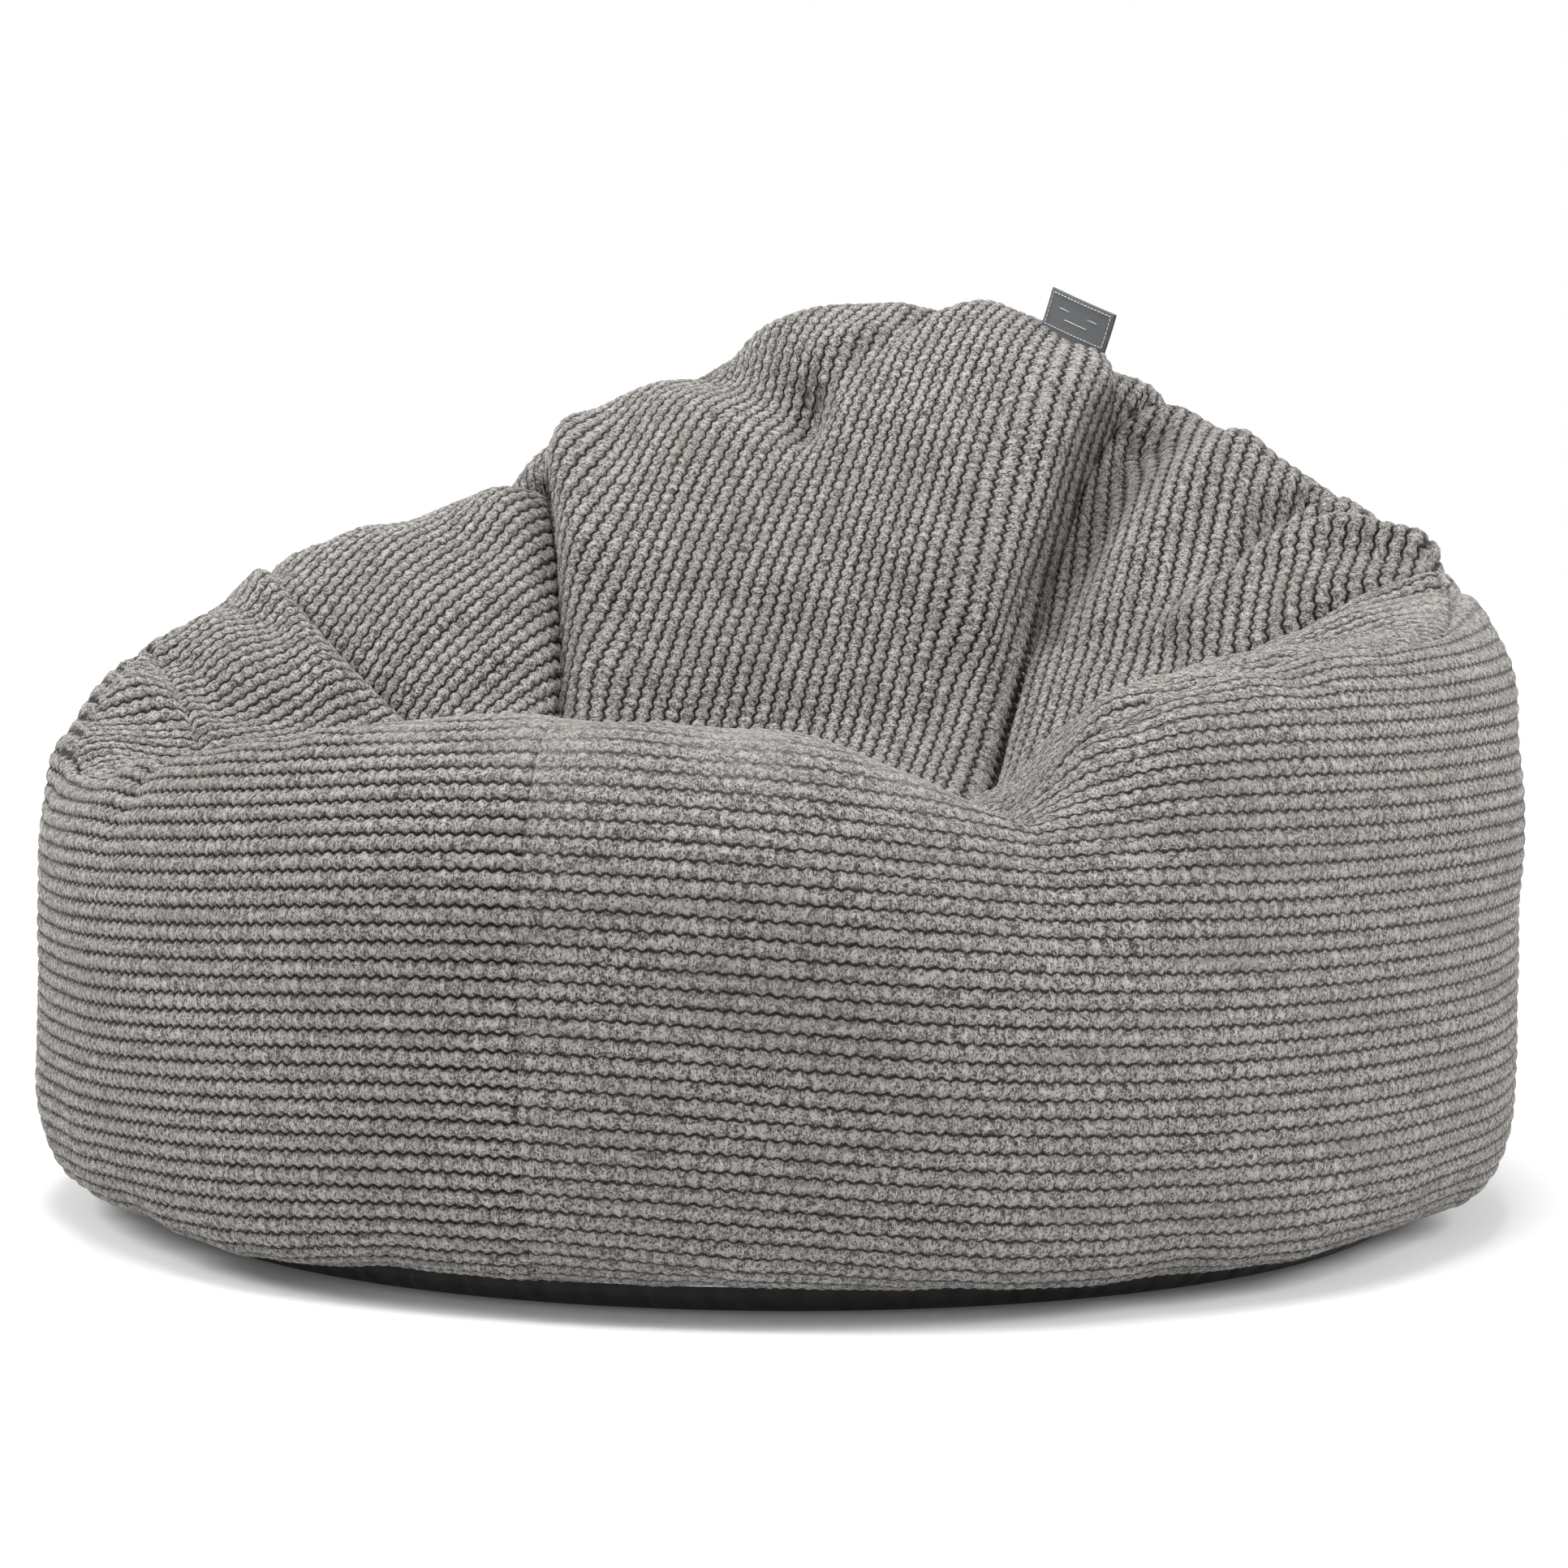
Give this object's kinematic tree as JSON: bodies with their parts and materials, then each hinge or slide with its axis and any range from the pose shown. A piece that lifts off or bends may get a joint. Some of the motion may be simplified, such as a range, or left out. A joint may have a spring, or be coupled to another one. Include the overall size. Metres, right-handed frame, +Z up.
{
  "type": "bean bag chair",
  "caption": "Round bean bag chair: a drum-shaped grey cord cover with a hollow seat and a gathered raised back, over a zipped liner full of beads.",
  "frame": {"origin": "centre of the footprint's bounding box, on the floor", "axes": "+Z up, -Y towards the open front of the seat, +Y towards the raised back, +X towards the arm at a sitter's left hand"},
  "size_m": [0.9938, 0.9446, 0.6409],
  "materials": {
    "cord": "matt chunky chenille cord with rows of bobbles",
    "nylon": "black coated nylon with a slight shine",
    "liner": "plain woven polyester",
    "beads": "expanded polystyrene beads",
    "zip_tape": "woven black zip tape",
    "zip_coil": "moulded black zip coil",
    "zip_metal": "black painted die-cast metal",
    "label": "dark grey woven label with a pale stitched edge",
    "care_tag": "white satin tag"
  },
  "bodies": {
    "bag": {"cover_wall_front_right": "cord", "cover_wall_rear": "cord", "cover_wall_front_left": "cord", "cover_seat_strip": "cord", "cover_side_right_gore": "cord", "cover_back_right_gore": "cord", "cover_back_left_gore": "cord", "cover_side_left_gore": "cord", "cover_left_arm_panel": "cord", "base_front": "nylon", "base_rear": "nylon", "liner_wall": "liner", "liner_top": "liner", "liner_base_front": "liner", "liner_base_rear": "liner", "bead_fill": "beads", "cover_zip_tape_front": "zip_tape", "cover_zip_coil_front": "zip_coil", "cover_zip_tape_rear": "zip_tape", "cover_zip_coil_rear": "zip_coil", "cover_zip_stop_left": "zip_metal", "cover_zip_stop_right": "zip_metal", "liner_zip_tape_front": "zip_tape", "liner_zip_coil_front": "zip_coil", "liner_zip_tape_rear": "zip_tape", "liner_zip_coil_rear": "zip_coil", "liner_zip_stop_left": "zip_metal", "liner_zip_stop_right": "zip_metal", "woven_label": "label", "care_label": "care_tag"},
    "cover_slider": {"cover_zip_slider": "zip_metal"},
    "liner_slider": {"liner_zip_slider": "zip_metal"}
  },
  "joints": [
    {"name": "cover_zip_slide", "type": "slide", "parent": "bag", "child": "cover_slider", "axis": [-1, 0, 0], "range_m": [0, 0.624]},
    {"name": "liner_zip_slide", "type": "slide", "parent": "bag", "child": "liner_slider", "axis": [-1, 0, 0], "range_m": [0, 0.624]}
  ]
}
